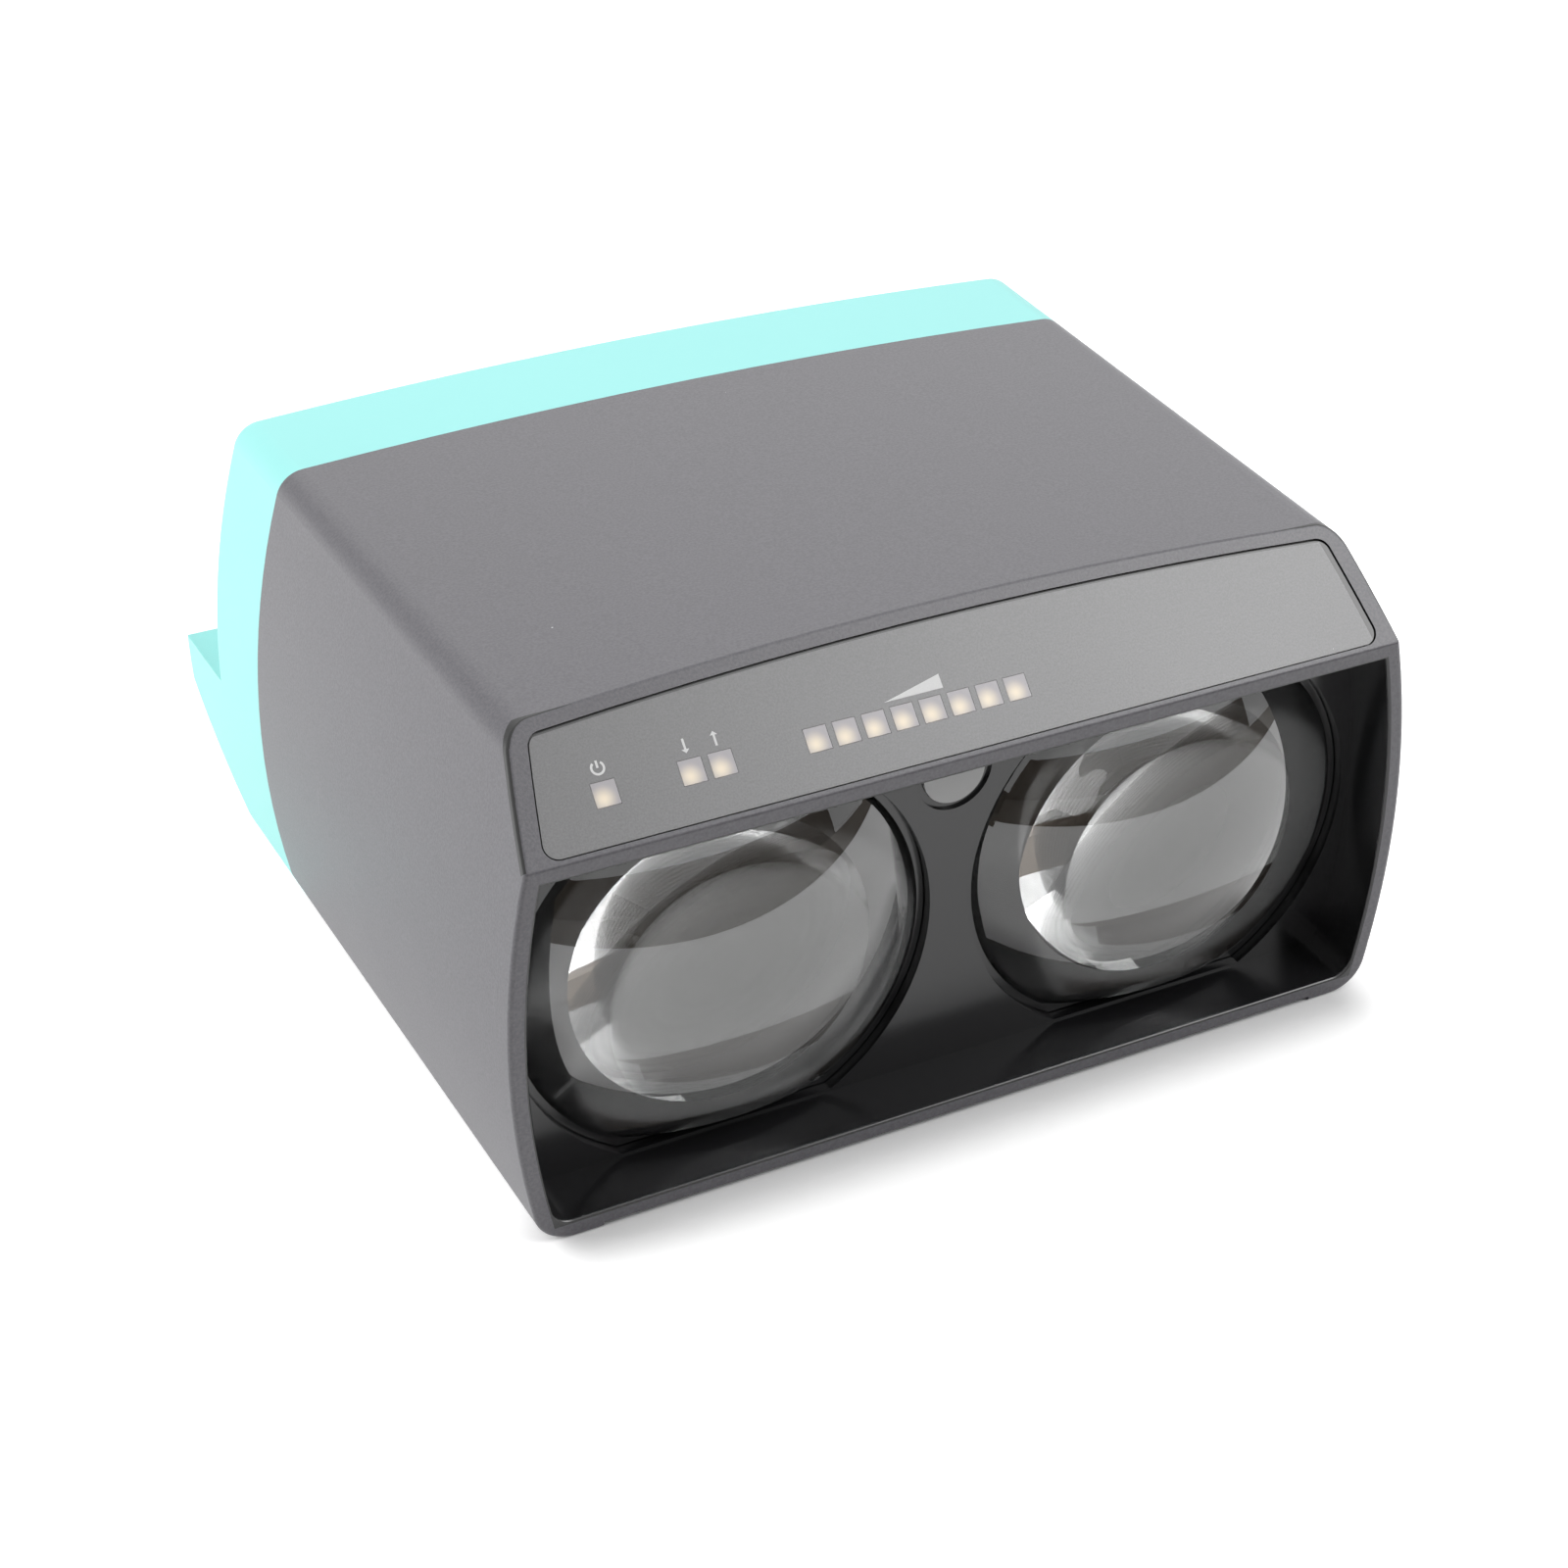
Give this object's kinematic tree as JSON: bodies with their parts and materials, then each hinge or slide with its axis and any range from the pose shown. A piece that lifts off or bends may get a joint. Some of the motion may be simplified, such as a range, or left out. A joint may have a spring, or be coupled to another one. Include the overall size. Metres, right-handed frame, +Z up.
{
  "type": "optical data light barrier",
  "caption": "Light barrier head for optical data links: black hood with a lens pair behind a visor, sloped lamp panel, turquoise rear housing with round connectors.",
  "frame": {"origin": "under the middle of the unit, on the plane of the base rails", "axes": "+X across the front, to the right seen from in front; +Y from the lenses to the back; +Z up"},
  "size_m": [0.1743, 0.1526, 0.0877],
  "materials": {
    "hood_plastic": "fine satin texture",
    "turquoise_plastic": "fine satin texture",
    "overlay_film": "matt printed film",
    "clear_plastic": "frosted, translucent",
    "lens_glass": "polished",
    "carrier_plastic": "dull black",
    "lamp_window_plastic": "frosted, translucent",
    "seal_rubber": "matt",
    "insert_brass": "machined",
    "screw_steel": "zinc plated",
    "connector_metal": "nickel plated, satin",
    "connector_plastic": "moulded",
    "contact_gold": "gold plated",
    "circuit_board": "solder mask",
    "component_plastic": "moulded",
    "lamp_package": "moulded",
    "diode_can": "plated",
    "ribbon_cable": "flat cable"
  },
  "bodies": {
    "root": {"front_hood": "hood_plastic", "rear_housing": "turquoise_plastic", "housing_gasket": "seal_rubber", "hood_inserts": "insert_brass", "housing_screws": "screw_steel", "mounting_inserts": "insert_brass", "indicator_overlay": "overlay_film", "power_light_guide": "clear_plastic", "link_light_guide": "clear_plastic", "signal_light_guide": "clear_plastic", "indicator_board": "circuit_board", "indicator_leds": "lamp_package", "indicator_screws": "screw_steel", "indicator_ribbon": "ribbon_cable", "optics_chassis": "carrier_plastic", "chassis_screws": "screw_steel", "transmitter_lens": "lens_glass", "receiver_lens": "lens_glass", "transmitter_lens_seal": "seal_rubber", "receiver_lens_seal": "seal_rubber", "emitter_board": "circuit_board", "receiver_board": "circuit_board", "emitter_diode": "diode_can", "receiver_diode": "diode_can", "optics_board_screws": "screw_steel", "aiming_lamp_window": "lamp_window_plastic", "aiming_lamp_board": "circuit_board", "aiming_lamp_led": "lamp_package", "main_board": "circuit_board", "main_board_components": "component_plastic", "main_board_screws": "screw_steel", "board_headers": "component_plastic", "supply_connector_shell": "connector_metal", "supply_connector_insert": "connector_plastic", "supply_connector_contacts": "contact_gold", "supply_connector_seal": "seal_rubber", "supply_connector_nut": "connector_metal", "data_connector_shell": "connector_metal", "data_connector_insert": "connector_plastic", "data_connector_contacts": "contact_gold", "data_connector_seal": "seal_rubber", "data_connector_nut": "connector_metal"}
  },
  "joints": []
}
